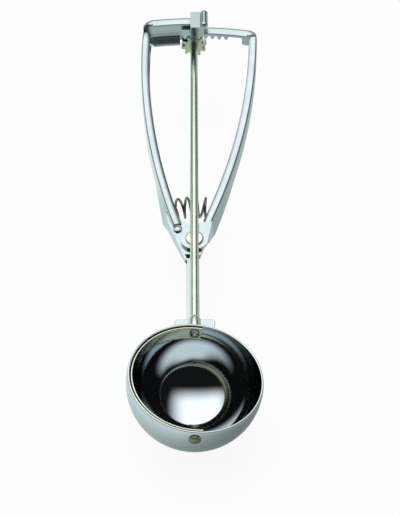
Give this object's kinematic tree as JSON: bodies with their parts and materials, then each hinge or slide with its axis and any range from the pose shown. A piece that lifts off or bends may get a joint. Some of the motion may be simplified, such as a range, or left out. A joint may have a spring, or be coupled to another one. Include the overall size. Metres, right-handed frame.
{
  "type": "lever ice cream scoop",
  "caption": "Ice cream scoop with a sprung lever handle: squeezing it drives a rack and pinion that sweeps a release blade inside a round bowl.",
  "frame": {"origin": "centre of the bowl's sphere, on the axis of the blade's rod", "axes": "+Y along the rod from the bowl to the handles; +Z out of the bowl's mouth; +X towards the moving lever; metres"},
  "size_m": [0.0536, 0.2274, 0.0418],
  "materials": {
    "bowl_steel": "mirror polished stainless steel",
    "polished_steel": "polished stainless steel",
    "rivet_steel": "domed bright rivet",
    "spring_wire": "dark spring wire",
    "nickel_brass": "nickel-plated brass, pale",
    "gear_brass": "nickel-plated brass, satin",
    "blade_brass": "nickel-plated brass, polished",
    "pin_brass": "nickel-plated brass, dark"
  },
  "bodies": {
    "frame": {"bowl": "bowl_steel", "saddle": "polished_steel", "shank": "polished_steel", "fixed_handle": "polished_steel", "pivot_rivet": "rivet_steel", "spring": "spring_wire", "bowl_bush": "nickel_brass", "front_pin": "pin_brass", "front_washer": "pin_brass", "rack_guide": "polished_steel"},
    "lever_body": {"lever": "polished_steel"},
    "spindle": {"spindle_rod": "nickel_brass", "pinion": "gear_brass", "blade": "blade_brass", "pinion_washer": "nickel_brass", "rod_washer": "nickel_brass", "blade_washer": "nickel_brass"}
  },
  "joints": [
    {"name": "lever_squeeze", "type": "hinge", "parent": "frame", "child": "lever_body", "pos_m": [0, 0.0765, 0], "axis": [0, 0, 1], "range_deg": [0, 7.55], "stiffness_Nm_per_rad": 6, "springref_deg": -3.44, "deforming": ["spring"]},
    {"name": "blade_sweep", "type": "hinge", "parent": "frame", "child": "spindle", "pos_m": [0, 0, 0], "axis": [0, -1, 0], "range_deg": [0, 180]}
  ],
  "couplings": [
    {"joint": "blade_sweep", "follows": "lever_squeeze", "ratio": 23.84}
  ]
}
